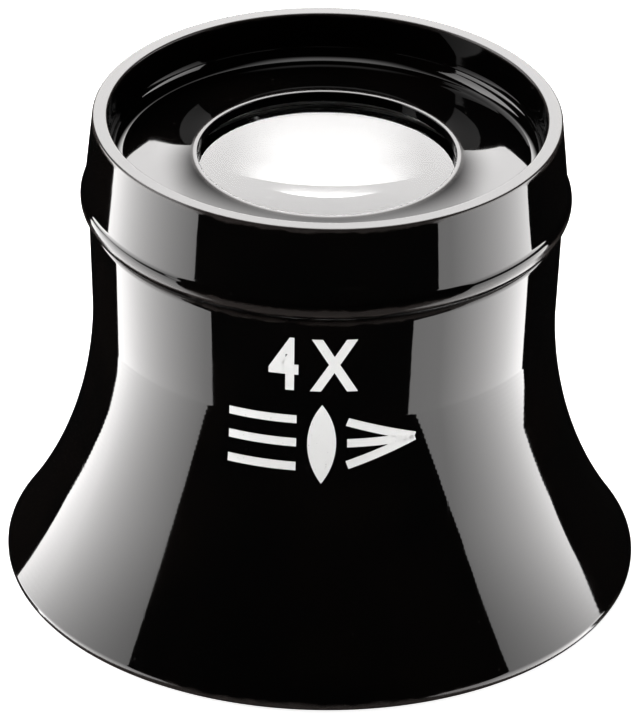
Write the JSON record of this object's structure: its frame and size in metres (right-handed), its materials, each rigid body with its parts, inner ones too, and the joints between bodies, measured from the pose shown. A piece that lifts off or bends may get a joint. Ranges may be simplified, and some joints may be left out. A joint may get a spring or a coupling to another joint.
{
  "type": "jeweler's loupe",
  "caption": "Hand-held eye loupe: a flared hollow eye cup with a lens mount that screws into its neck and holds one biconvex magnifying lens behind a raised lip.",
  "frame": {"origin": "centre of the eye rim's face, on the plane that the loupe stands on", "axes": "+Z along the optical axis towards the lens end; the printed side faces -Y"},
  "size_m": [0.038, 0.038, 0.03],
  "materials": {
    "cup_plastic": "black moulded plastic, polished",
    "mount_plastic": "black moulded plastic, polished, with a paler rubbed rim",
    "lens_glass": "clear ground and polished glass",
    "spring_wire": "drawn spring wire",
    "marking_ink": "white pad-printed ink"
  },
  "bodies": {
    "eye_cup": {"eye_cup": "cup_plastic"},
    "lens_cell": {"lens": "lens_glass", "snap_ring": "spring_wire"},
    "lens_mount": {"lens_mount": "mount_plastic"}
  },
  "joints": [
    {"name": "mount_turn", "type": "hinge", "parent": "lens_cell", "child": "lens_mount", "pos_m": [0, 0, 0.024], "axis": [0, 0, 1], "range_deg": [0, 1440.5]},
    {"name": "mount_rise", "type": "slide", "parent": "eye_cup", "child": "lens_cell", "axis": [0, 0, 1], "range_m": [0, 0.004]}
  ],
  "couplings": [
    {"joint": "mount_turn", "follows": "mount_rise", "rad_per_m": 6283.2}
  ]
}
